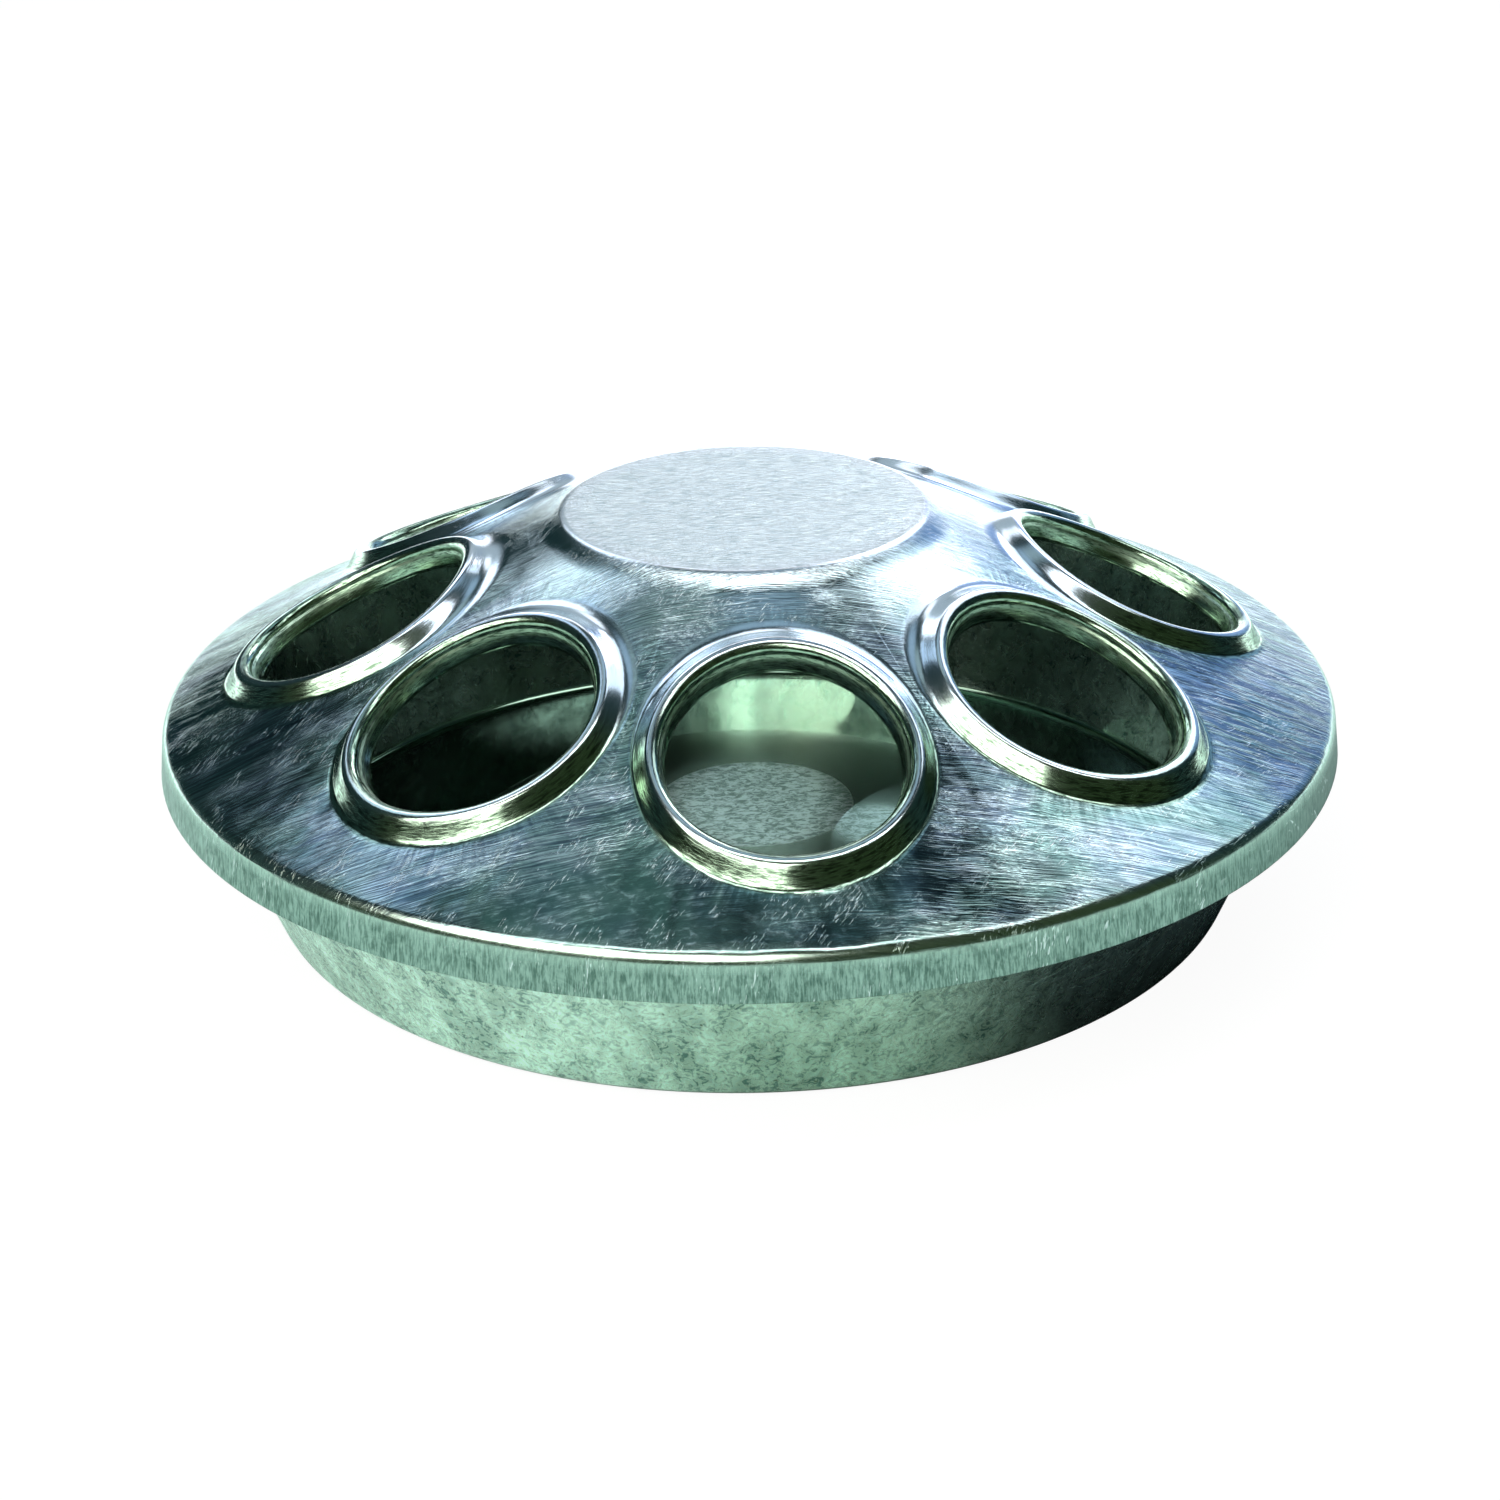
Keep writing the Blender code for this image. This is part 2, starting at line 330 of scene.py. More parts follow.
def collar_sector():
    """One sector of the cone with its collar. Rows run from the flange's end out to the sector's edge, and
    each row has one point for each station of the edge, in the direction of that station.

    Returns the collar's points, the cone's points as (x, y), how much of the ripple each of those takes, and
    for all rows the marks and the place round the hole.
    """
    edge = field_boundary()
    slope_x = (edge[:, 0] - HOLE_CIRCLE) / math.cos(CONE_ANGLE)
    turn = np.arctan2(edge[:, 1], slope_x / FOOT_STRETCH)
    sharp = collar_outline(COLLAR_FOOT_BEND, COLLAR_BASE_RADIUS)
    soft = collar_outline(UPHILL_FOOT_BEND, UPHILL_BASE_RADIUS)
    uphill = smooth_step(*UPHILL_SIDE, -np.cos(turn))
    radius = sharp[:, 0, None] + (soft - sharp)[:, 0, None] * uphill
    height = sharp[:, 1, None] + (soft - sharp)[:, 1, None] * uphill
    collar = on_hole(slope_stretch(radius) * radius * np.cos(turn), radius * np.sin(turn), height)

    base = collar[-1, :, :2]
    share = np.linspace(0.0, 1.0, FIELD_ROWS + 1)[1:, None, None] ** FIELD_CROWDING
    flat = base + (edge - base) * share
    away = np.linalg.norm(flat - base, axis=-1)
    out = np.hypot(flat[..., 0], flat[..., 1])
    inside_field = smooth_step(0.0, RIPPLE_MARGIN, FIELD_OUTER - out)
    inside_field *= smooth_step(0.0, RIPPLE_MARGIN, out - FIELD_INNER)
    reach = inside_field * away / (away + RIPPLE_ONSET)

    length = run_length(sharp)
    crest_at = length[np.argmax(sharp[:, 1])]
    foot_at = length[-1]
    rows = np.concatenate([np.repeat(length[:, None], len(turn), axis=1), foot_at + away])
    marks = {
        "collar": 1.0 - smooth_step(foot_at + COLLAR_MARK[0], foot_at + COLLAR_MARK[1], rows),
        "crest": bell(rows - crest_at, CREST_MARK_WIDTH),
        "flange": np.clip((crest_at - rows) / crest_at, 0.0, 1.0),
        "near": np.exp(-np.maximum(0.0, rows - foot_at) / NEAR_MARK_LENGTH),
    }
    circle = CREST_RADIUS * np.stack([np.cos(turn), np.sin(turn)], axis=-1)
    around = np.concatenate([np.broadcast_to(circle, (*rows.shape, 2)), rows[..., None]], axis=-1)
    return collar, flat, reach, marks, around


def lid_head():
    """The lid's outline from the axis over the disc and neck to the sectors, as (radius, height)."""
    outline = rounded([(0.0, LID_TOP, 0.0), (DISC_RADIUS, LID_TOP, DISC_BEND),
                       (NECK_RADIUS, CONE_TOP, NECK_BEND),
                       (FIELD_INNER, cone_height(FIELD_INNER), 0.0)], BEND_STEPS)
    return refined(outline, HEAD_LONGEST)


def lid_brim():
    """The lid's outline from the sectors over the shoulder to the skirt's foot. An extra row close to the
    foot keeps the shading of the sheet's cut edge off the skirt."""
    outline = rounded([(FIELD_OUTER, cone_height(FIELD_OUTER), 0.0),
                       (SKIRT_TOP, SHOULDER, SHOULDER_BEND), (SKIRT_RADIUS, SKIRT_FOOT, 0.0)],
                      BRIM_BEND_STEPS)
    outline = refined(outline, BRIM_LONGEST)
    return np.insert(outline, -1, outline[-1] + (outline[-2] - outline[-1]) * SKIRT_LAST_ROW, axis=0)


def lid_sheet():
    """The lid's outer face: a turned disc and neck, eight sectors of cone with collars, a turned shoulder
    and skirt. The cone's sectors carry the ripple, which dies out at the turned parts and at the collars."""
    sheet = Sheet()
    head = lid_head()
    radius = head[:, 0, None]
    disc = 1.0 - smooth_step(DISC_RADIUS + DISC_MARK[0], DISC_RADIUS + DISC_MARK[1], radius)
    disc_edge = bell(radius - DISC_RADIUS + DISC_EDGE_INSET, DISC_EDGE_WIDTH)
    sheet.add(turned(radius, head[:, 1, None]), disc=disc, edge=disc_edge)

    brim = lid_brim()
    length = run_length(brim)
    corner = np.argmin(np.hypot(brim[:, 0] - SKIRT_TOP, brim[:, 1] - SHOULDER))
    shoulder_edge = bell(length - length[corner], SHOULDER_EDGE_WIDTH)[:, None]
    skirt = smooth_step(*SKIRT_MARK, SHOULDER - brim[:, 1, None])
    sheet.add(turned(brim[:, 0, None], brim[:, 1, None]), skirt=skirt, edge=shoulder_edge)

    collar, flat, reach, marks, around = collar_sector()
    for hole in range(HOLES):
        angle = -math.pi / 2 + math.tau * hole / HOLES
        spin = np.array([[math.cos(angle), -math.sin(angle)], [math.sin(angle), math.cos(angle)]])
        placed = collar.copy()
        placed[..., :2] = collar[..., :2] @ spin.T
        field = flat @ spin.T
        out = np.linalg.norm(field, axis=-1)
        lift = reach * ripple(field[..., 0], field[..., 1])
        field = np.concatenate([field, (cone_height(out) + lift)[..., None]], axis=-1)
        sheet.add(np.concatenate([placed, field]), around=around, **marks)
    return sheet.make("lid_sheet")


def pan_sheet():
    """The pan's upper face turned about Z: raised centre, floor, bent wall, ledge and curled rim. Its wall
    carries a slight ripple."""
    outline = rounded([(0.0, SHEET + CENTRE_RAISE, 0.0), (CENTRE_RADIUS, SHEET + CENTRE_RAISE, CENTRE_BEND),
                       (CENTRE_RADIUS + CENTRE_RAISE, SHEET, CENTRE_BEND),
                       (WALL_FOOT, SHEET, FLOOR_BEND), (WALL_TOP, RIM_HEIGHT, RIM_BEND),
                       (CURL_CENTRE, RIM_HEIGHT, 0.0)], BEND_STEPS)
    curl = arc((CURL_CENTRE, RIM_HEIGHT - CURL_RADIUS), CURL_RADIUS, math.pi / 2,
               -CURL_TURN, CURL_STEPS)
    outline = refined(np.concatenate([outline[:-1], curl]), PAN_LONGEST)
    radius, height = outline[:, 0, None], outline[:, 1, None]
    on_wall = smooth_step(WALL_FOOT, WALL_FOOT + WALL_RIPPLE_RISE, radius)
    on_wall = on_wall * smooth_step(0.0, RIPPLE_MARGIN, WALL_TOP - radius)
    angles = column_angles()
    wave = ripple(np.cos(angles) * WALL_TOP, np.sin(angles) * WALL_TOP)
    sheet = Sheet()
    sheet.add(turned(radius + WALL_RIPPLE * on_wall * wave, height), skirt=on_wall)
    return sheet.make("pan_sheet")


class Sheet:
    """Collects grids of points with their marks, and makes them one welded sheet of even thickness."""

    MARKS = ("disc", "skirt", "collar", "crest", "flange", "edge", "near")

    def __init__(self):
        self.points, self.faces, self.marks, self.around, self.count = [], [], [], [], 0

    def add(self, points, around=None, **marks):
        """Adds a grid whose last column joins its first. Marks that aren't given are 0."""
        rows, columns = points.shape[:2]
        self.faces.append(ring_faces(rows, columns) + self.count)
        self.points.append(points.reshape(-1, 3))
        self.count += rows * columns
        blank = np.zeros((rows, columns))
        self.marks.append(np.stack([(marks.get(name, 0.0) + blank).ravel() for name in self.MARKS], axis=-1))
        place = np.zeros((rows, columns, 3)) if around is None else around
        self.around.append(place.reshape(-1, 3))

    def make(self, name):
        """Joins points closer than a thousandth of a millimetre; a square with a side on the axis becomes
        a triangle."""
        points = np.concatenate(self.points)
        _, first, place = np.unique(np.round(points, 3) + 0.0, axis=0, return_index=True,
                                    return_inverse=True)
        faces = place.ravel()[np.concatenate(self.faces)]
        pole = faces[:, 0] == faces[:, 3]
        faces = faces[~pole].tolist() + faces[pole][:, :3].tolist()
        mesh = bpy.data.meshes.new(name)
        mesh.from_pydata((points[first] * MM).tolist(), [], faces)
        marks = np.concatenate(self.marks)[first]
        for column, mark in enumerate(self.MARKS):
            layer = mesh.attributes.new(mark, "FLOAT", "POINT")
            layer.data.foreach_set("value", marks[:, column].astype(np.float32))
        layer = mesh.attributes.new("around_hole", "FLOAT_VECTOR", "POINT")
        layer.data.foreach_set("vector", np.concatenate(self.around)[first].astype(np.float32).ravel())
        mesh.shade_smooth()
        obj = new_object(name, mesh)
        wall = obj.modifiers.new("Sheet", "SOLIDIFY")
        wall.thickness = SHEET * MM
        wall.offset = -1.0
        wall.use_even_offset = True
        return obj


class Nodes:
    """Builds a node tree from short calls. A socket argument is a value, or an output to join to it, and a
    color may be given as red, green and blue alone."""

    def __init__(self, tree):
        self.tree = tree

    def add(self, kind, settings=None, **sockets):
        node = self.tree.nodes.new("ShaderNode" + kind)
        for name, value in (settings or {}).items():
            setattr(node, name, value)
        for name, value in sockets.items():
            self.put(node, name, value)
        return node

    def put(self, node, name, value):
        """Sets or joins an input, which is named with _ for each space, or as _0, _1 and so on."""
        socket = node.inputs[int(name[1:])] if name[0] == "_" else node.inputs[name.replace("_", " ")]
        if isinstance(value, bpy.types.NodeSocket):
            self.tree.links.new(value, socket)
        elif socket.type == "RGBA":
            socket.default_value = (*value, 1.0)
        else:
            socket.default_value = value

    def math(self, operation, first, second=0.0, third=0.0):
        return self.add("Math", {"operation": operation}, _0=first, _1=second, _2=third).outputs[0]

    def times(self, first, second):
        return self.math("MULTIPLY", first, second)

    def either(self, first, second):
        return self.math("MAXIMUM", first, second)

    def without(self, share):
        """What a share leaves of 1."""
        return self.math("SUBTRACT", 1.0, share)

    def vector(self, operation, first, second=(0.0, 0.0, 0.0)):
        return self.add("VectorMath", {"operation": operation}, _0=first, _1=second).outputs[0]

    def length(self, vector):
        return self.add("VectorMath", {"operation": "LENGTH"}, _0=vector).outputs["Value"]

    def split(self, vector):
        return self.add("SeparateXYZ", Vector=vector).outputs

    def join(self, **axes):
        return self.add("CombineXYZ", **axes).outputs[0]

    def band(self, value, low, high, to_low=0.0, to_high=1.0):
        """An S curve from to_low at low to to_high at high."""
        settings = {"interpolation_type": "SMOOTHSTEP"}
        node = self.add("MapRange", settings, Value=value, From_Min=low, From_Max=high,
                        To_Min=to_low, To_Max=to_high)
        return node.outputs[0]

    def area(self, first, second, bands):
        """The product of two bands, for a region that is bounded by two values."""
        return self.times(self.band(first, *bands[0]), self.band(second, *bands[1]))

    def mix(self, share, first, second):
        """The color between first and second at this share."""
        node = self.add("Mix", {"data_type": "RGBA"}, Factor=share, _6=first, _7=second)
        return node.outputs[2]

    def blend(self, share, first, second):
        """The number between first and second at this share."""
        node = self.add("Mix", {"data_type": "FLOAT"}, Factor=share, _2=first, _3=second)
        return node.outputs[0]

    def noise(self, vector, scale=1.0, detail=2.0, roughness=0.5, distortion=0.0):
        node = self.add("TexNoise", Vector=vector, Scale=scale, Detail=detail,
                        Roughness=roughness, Distortion=distortion)
        return node.outputs["Fac"]

    def drawn(self, place, size, detail, roughness, distortion=0.0):
        """Noise drawn out along each axis to the size given for it, in millimetres."""
        return self.noise(self.vector("DIVIDE", place, size), 1.0, detail, roughness, distortion)

    def mark(self, name):
        return self.add("Attribute", {"attribute_name": name}).outputs["Fac"]

    def group(self, tree, **sockets):
        return self.add("Group", {"node_tree": tree}, **sockets).outputs

    def in_millimetres(self):
        """The place on the feeder in millimetres."""
        return self.vector("MULTIPLY", self.add("TexCoord").outputs["Object"], (1 / MM,) * 3)


def new_group(name, outputs, **inputs):
    """An empty node group, which takes a place and these numbers, and puts out numbers."""
    tree = bpy.data.node_groups.new(name, "ShaderNodeTree")
    tree.interface.new_socket("Place", in_out="INPUT", socket_type="NodeSocketVector")
    for label, default in inputs.items():
        socket = tree.interface.new_socket(label, in_out="INPUT", socket_type="NodeSocketFloat")
        socket.default_value = default
    for label in outputs:
        tree.interface.new_socket(label, in_out="OUTPUT", socket_type="NodeSocketFloat")
    return Nodes(tree), tree.nodes.new("NodeGroupInput").outputs, tree.nodes.new("NodeGroupOutput")


# How slowly a stroke changes with height, in millimetres, and its raggedness
STROKE_DEPTH = 60.0
STROKE_RAGGED = 0.66


def strokes_group():
    """Strokes: noise drawn out along X, its length and width in millimetres, bent sideways by Sway. The mark
    stays the same wherever the sheet was later pressed to, so it hardly changes with height."""
    nodes, given, out = new_group("strokes", ["Value"], Length=4.0, Width=0.3, Sway=0.0)
    bent = nodes.vector("ADD", given["Place"], nodes.join(Y=given["Sway"]))
    size = nodes.join(X=given["Length"], Y=given["Width"], Z=STROKE_DEPTH)
    nodes.put(out, "Value", nodes.drawn(bent, size, 2.0, STROKE_RAGGED))
    return nodes.tree


# Clouds of zinc: their raggedness and twist, the width of the ridges, and where a cloud begins and is full
CLOUD_RAGGED = 0.68
CLOUD_TWIST = 1.6
RIDGE_WIDTH = 0.09
CLOUD_BAND = (0.34, 0.66)


def crystals_group():
    """Clouded zinc: coarse noise, and the ragged ridges that it leaves where it crosses its middle."""
    nodes, given, out = new_group("crystals", ["Ridges", "Cloud"], Size=4.0)
    scale = nodes.math("DIVIDE", 1.0, given["Size"])
    coarse = nodes.noise(given["Place"], scale, 4.0, CLOUD_RAGGED, CLOUD_TWIST)
    folded = nodes.math("ABSOLUTE", nodes.math("SUBTRACT", coarse, 0.5))
    nodes.put(out, "Ridges", nodes.band(folded, RIDGE_WIDTH, 0.0))
    nodes.put(out, "Cloud", nodes.band(coarse, *CLOUD_BAND))
    return nodes.tree


# Scratches: how they lie, their twist, their crests, and where they gather
SCRATCH_TURN = 0.7
SCRATCH_TWIST = 1.4
SCRATCH_CREST = (0.62, 0.70)
SCRATCHED_SCALE = 0.23
SCRATCHED_PATCHES = (0.5, 0.6)


def scratches_group():
    """Sparse scratches: the crests of a twisted, drawn-out noise, where a second noise is high."""
    nodes, given, out = new_group("scratches", ["Value"], Length=5.0, Width=0.22, Amount=0.5)
    size = nodes.join(X=given["Width"], Y=given["Length"], Z=given["Length"])
    spun = nodes.add("VectorRotate", {"rotation_type": "Z_AXIS"}, Vector=given["Place"], Angle=SCRATCH_TURN)
    line = nodes.band(nodes.drawn(spun.outputs[0], size, 1.0, 0.5, SCRATCH_TWIST), *SCRATCH_CREST)
    where = nodes.band(nodes.noise(given["Place"], SCRATCHED_SCALE), *SCRATCHED_PATCHES)
    nodes.put(out, "Value", nodes.times(nodes.times(line, where), given["Amount"]))
    return nodes.tree


SMUDGE_RAGGED = 0.55
SMUDGE_BAND = (0.36, 0.64)


def smudge_group():
    """Cloudy patches several millimetres across, for uneven color and shine."""
    nodes, given, out = new_group("smudge", ["Value"], Size=14.0)
    scale = nodes.math("DIVIDE", 1.0, given["Size"])
    patches = nodes.noise(given["Place"], scale, 2.0, SMUDGE_RAGGED)
    nodes.put(out, "Value", nodes.band(patches, *SMUDGE_BAND))
    return nodes.tree


def new_material(name):
    material = bpy.data.materials.new(name)
    material.use_nodes = True
    material.node_tree.nodes.clear()
    return material


class Finish(Nodes):
    """The finish of one sheet of zinc. Each kind works out its color, its roughness and its relief in
    millimetres."""

    def __init__(self, tree, effects):
        super().__init__(tree)
        self.effects = effects
        self.place = self.in_millimetres()
        self.distance = self.from_axis(self.place)

    def from_axis(self, place):
        """The distance from the feeder's axis."""
        return self.length(self.vector("MULTIPLY", place, (1.0, 1.0, 0.0)))

    def effect(self, name, shift=None, **sockets):
        """What an effect puts out at each place of the sheet, or at that place shifted."""
        place = self.place if shift is None else self.vector("ADD", self.place, shift)
        return self.group(self.effects[name], Place=place, **sockets)


# Marks of the lid's making: length, width and sway of strokes; size, detail and raggedness of drawn noise
LONG_STROKES = (8.0, 0.17, 1.1)
SHORT_STROKES = (1.9, 0.16, 2.6)
BOLD_STROKES = (7.0, 0.8, 2.0, (0.0, 9.0, 0.0))
SWAY_SCALE = 0.13
DRAW_MARKS = ((0.28, 0.28, 2.6), 3.0, 0.62)
DIE_SMEAR = ((1.5, 1.5, 0.22), 3.0, 0.6, 0.4)
FOOT_RIPPLES = ((0.42, 0.42, 7.0), 1.0, 0.5)
MOTTLE = ((1.5, 0.8, 9.0), 4.0, 0.62, 0.4)
TARNISH_STREAKS = ((9.0, 3.5, 60.0), 3.0, 0.6, 0.5)
LID_SCRATCHES = {"Length": 2.2, "Width": 0.2, "Amount": 1.0}
LID_CLOUD_SIZE = 3.5
PATCH_SIZE = 9.0
TINT_SIZE = 12.0
TINT_SHIFT = (70.0, 20.0, 0.0)

# Where the lid's finishes, its painted highlights and its painted shade lie. Y grows away from the camera,
# and X to its right
CALM_AREA = ((-56.0, -66.0), (18.0, 4.0))
CALM_SCALE = 0.12
CALM_PATCHES = (0.30, 0.60, 0.45, 0.85)
FURROWED_AREA = ((24.0, 50.0), (-52.0, -34.0))
FURROWS = (0.54, 0.43)
NECK_HIGHLIGHT_FADE = (37.0, 27.0, 0.0, 0.6)
TARNISH_BAND = (0.56, 0.40, 0.0, 0.75)
SKIRT_SHADE = (44.0, 72.0, 0.0, 0.6)
UPHILL_FLANK_HIGHLIGHT = ((-1.0, -10.0), (0.10, 0.02))
SCUFFED_LEDGE = ((0.35, 0.45), (0.8, 0.6))
WEAR_AND_HIGHLIGHT_NEAR_SHOULDER = (70.0, 60.0)
WEAR_AND_HIGHLIGHT_ALONG_STROKES = (0.3, 0.5, 0.4, 1.0)

# How the lid's grain turns into light and dark
CONE_CONTRAST = (0.40, 0.60)
DISC_CONTRAST = (0.32, 0.68)
COLLAR_CONTRAST = (0.34, 0.56)
MOTTLE_GAIN = 0.7
MOTTLE_LIFT = 0.04
SHORT_SHARE = 0.6
FOOT_RIPPLE_SHARE = 0.32
FURROW_SHARE = 0.75
CLOUD_ON_SKIRT = 0.4
SCRATCH_SHARE = 0.9
WEAR_AND_HIGHLIGHT_SHARE = 0.85

# Colors of the lid's zinc, and of the painted highlights and shade on it
CONE_DARK = (0.17, 0.28, 0.27)
CONE_DARK_BLUE = (0.21, 0.28, 0.38)
CONE_DARK_CALM = (0.17, 0.30, 0.27)
CONE_LIGHT = (0.70, 0.88, 0.84)
CONE_LIGHT_BLUE = (0.82, 0.93, 1.0)
TARNISH = (0.50, 0.64, 0.63)
FURROW_COLOR = (0.14, 0.22, 0.36)
# Painted highlight: the pale zinc that the cone turns to near its neck
NECK_HIGHLIGHT_COLOR = (0.86, 0.96, 1.0)
DISC_DARK = (0.48, 0.60, 0.68)
DISC_LIGHT = (0.93, 0.98, 1.0)
SKIRT_DARK = (0.12, 0.20, 0.17)
SKIRT_LIGHT = (0.44, 0.58, 0.52)
# Painted shade: the darker zinc of the skirt's right side
SKIRT_SHADED = (0.10, 0.16, 0.14)
COLLAR_DARK = (0.10, 0.16, 0.11)
COLLAR_LIGHT = (0.48, 0.64, 0.50)
# Painted highlight on the collars' uphill flanks, which mirror the bright studio behind
COLLAR_UPHILL_HIGHLIGHT = (0.74, 0.82, 0.92)
BARE_ZINC = (0.95, 0.99, 1.0)
# Partly worn bare zinc, partly painted highlight lines on the shoulder, the crests and the disc's edge
WORN_AND_HIGHLIT_SHOULDER = (0.80, 0.96, 0.86)
WORN_AND_HIGHLIT_CREST = (0.90, 0.92, 1.0)

# Roughness of the lid
CONE_POLISHED = 0.11
CONE_ROUGH = 0.19
DISC_ROUGH = 0.21
SKIRT_ROUGH = 0.28
COLLAR_ROUGH = 0.15
LEDGE_ROUGH = 0.34
EDGE_ROUGH = 0.20

# Depth of the lid's relief in millimetres
GRAIN_SHALLOW = 0.03
GRAIN_DEEP = 0.075
GRAIN_CALM = 0.02
GRAIN_ON_DISC = 0.075
GRAIN_ON_COLLAR = 0.014
SCRATCH_BURR = 0.012
WAVE_DEPTH = 0.45
FURROW_DEPTH = -0.06

# Pressing waves: how many go round, how slowly they change outwards, and where they begin
WAVES_ROUND = (8.0, 8.0, 0.0)
WAVE_LENGTH = 26.0
WAVE_RAGGED = 0.55
WAVED_FROM_AXIS = (30.0, 56.0)


class LidFinish(Finish):
    """Rolled strokes along X on the disc and cone, pressing waves that run out from the axis, short ripples
    across the collars' feet, upright draw marks on the skirt, and collars smeared by the die. Painted
    highlights lighten the neck, the collars' uphill flanks and the worn crests and edges; painted shade
    darkens the skirt's right side."""

    def __init__(self, tree, effects):
        super().__init__(tree, effects)
        self.around = self.add("Attribute", {"attribute_name": "around_hole"}).outputs["Vector"]
        marks = [self.mark(name) for name in Sheet.MARKS]
        self.disc, self.skirt, self.collar, self.crest, self.flange, self.edge, self.near = marks
        self.x, self.y = self.split(self.place)[:2]
        self.sway = self.math("SUBTRACT", self.noise(self.place, SWAY_SCALE, 1.0), 0.5)
        self.patchy = self.effect("smudge", Size=PATCH_SIZE)[0]
        self.long_strokes = self.strokes(*LONG_STROKES)
        self.calm = self.calm_front()
        self.furrows = self.furrowed_side()
        self.grain = self.all_grain()
        self.bare = self.scratched()

    def strokes(self, length, width, sway, shift=None):
        bend = self.times(self.sway, sway)
        return self.effect("strokes", shift, Length=length, Width=width, Sway=bend)[0]

    def calm_front(self):
        """1 at the front of the cone, where the strokes give way to a quiet mottle."""
        patches = self.band(self.noise(self.place, CALM_SCALE), *CALM_PATCHES)
        return self.times(self.area(self.y, self.x, CALM_AREA), patches)

    def furrowed_side(self):
        """Bold dark strokes at the right of the cone."""
        bold = self.band(self.strokes(*BOLD_STROKES), *FURROWS)
        return self.times(self.area(self.x, self.y, FURROWED_AREA), bold)

    def all_grain(self):
        """The fine marks of each region, from 0 to 1."""
        short_strokes = self.strokes(*SHORT_STROKES)
        mottle = self.math("MULTIPLY_ADD", self.drawn(self.place, *MOTTLE), MOTTLE_GAIN, MOTTLE_LIFT)
        ripples = self.drawn(self.around, *FOOT_RIPPLES)
        grain = self.blend(self.times(self.patchy, SHORT_SHARE), self.long_strokes, short_strokes)
        grain = self.blend(self.calm, grain, mottle)
        grain = self.blend(self.disc, grain, short_strokes)
        grain = self.blend(self.times(self.near, FOOT_RIPPLE_SHARE), grain, ripples)
        grain = self.blend(self.skirt, grain, self.drawn(self.place, *DRAW_MARKS))
        return self.blend(self.collar, grain, self.drawn(self.around, *DIE_SMEAR))

    def scratched(self):
        """Scratches, which the disc and the collars don't have."""
        scratch = self.effect("scratches", **LID_SCRATCHES)[0]
        return self.times(scratch, self.without(self.either(self.disc, self.collar)))

    def cone_color(self, contrast):
        tinted = self.effect("smudge", TINT_SHIFT, Size=TINT_SIZE)[0]
        dark = self.mix(tinted, CONE_DARK, CONE_DARK_BLUE)
        dark = self.mix(self.calm, dark, CONE_DARK_CALM)
        color = self.mix(contrast, dark, self.mix(tinted, CONE_LIGHT, CONE_LIGHT_BLUE))
        tarnish = self.band(self.drawn(self.place, *TARNISH_STREAKS), *TARNISH_BAND)
        color = self.mix(tarnish, color, self.vector("MULTIPLY", color, TARNISH))
        color = self.mix(self.times(self.furrows, FURROW_SHARE), color, FURROW_COLOR)
        # painted highlight: the cone is lightened towards its neck
        return self.mix(self.band(self.distance, *NECK_HIGHLIGHT_FADE), color, NECK_HIGHLIGHT_COLOR)

    def skirt_color(self, contrast):
        cloud = self.effect("crystals", Size=LID_CLOUD_SIZE)["Cloud"]
        streaked = self.blend(CLOUD_ON_SKIRT, contrast, cloud)
        color = self.mix(streaked, SKIRT_DARK, SKIRT_LIGHT)
        # painted shade: the skirt darkens towards its right side
        return self.mix(self.band(self.x, *SKIRT_SHADE), color, SKIRT_SHADED)

    def collar_color(self):
        color = self.mix(self.band(self.grain, *COLLAR_CONTRAST), COLLAR_DARK, COLLAR_LIGHT)
        down_slope = self.split(self.around)[0]
        # painted highlight: the uphill flank outside the crest is lightened
        return self.mix(self.area(down_slope, self.flange, UPHILL_FLANK_HIGHLIGHT), color, COLLAR_UPHILL_HIGHLIGHT)

    def color(self):
        """The regions' colors, with bare zinc in the scratches, and on crests and edges a pale zinc that is
        partly wear and partly painted highlight.
        """
        contrast = self.band(self.grain, *CONE_CONTRAST)
        disc_color = self.mix(self.band(self.grain, *DISC_CONTRAST), DISC_DARK, DISC_LIGHT)
        color = self.mix(self.disc, self.cone_color(contrast), disc_color)
        color = self.mix(self.skirt, color, self.skirt_color(contrast))
        color = self.mix(self.collar, color, self.collar_color())
        color = self.mix(self.times(self.bare, SCRATCH_SHARE), color, BARE_ZINC)
        # partly real wear, partly painted highlight along the shoulder, the crests and the disc's edge
        worn_and_highlit_edge = self.times(self.edge, self.band(self.long_strokes, *WEAR_AND_HIGHLIGHT_ALONG_STROKES))
        worn = self.either(self.crest, worn_and_highlit_edge)
        wear_and_highlight_color = self.mix(self.band(self.distance, *WEAR_AND_HIGHLIGHT_NEAR_SHOULDER), WORN_AND_HIGHLIT_SHOULDER, WORN_AND_HIGHLIT_CREST)
        return self.mix(self.times(worn, WEAR_AND_HIGHLIGHT_SHARE), color, wear_and_highlight_color)

    def roughness(self):
        rough = self.blend(self.patchy, CONE_POLISHED, CONE_ROUGH)
        rough = self.blend(self.disc, rough, DISC_ROUGH)
        rough = self.blend(self.skirt, rough, SKIRT_ROUGH)
        rough = self.blend(self.collar, rough, COLLAR_ROUGH)
        scuffed = self.area(self.flange, self.flange, SCUFFED_LEDGE)
        return self.blend(self.edge, self.blend(scuffed, rough, LEDGE_ROUGH), EDGE_ROUGH)

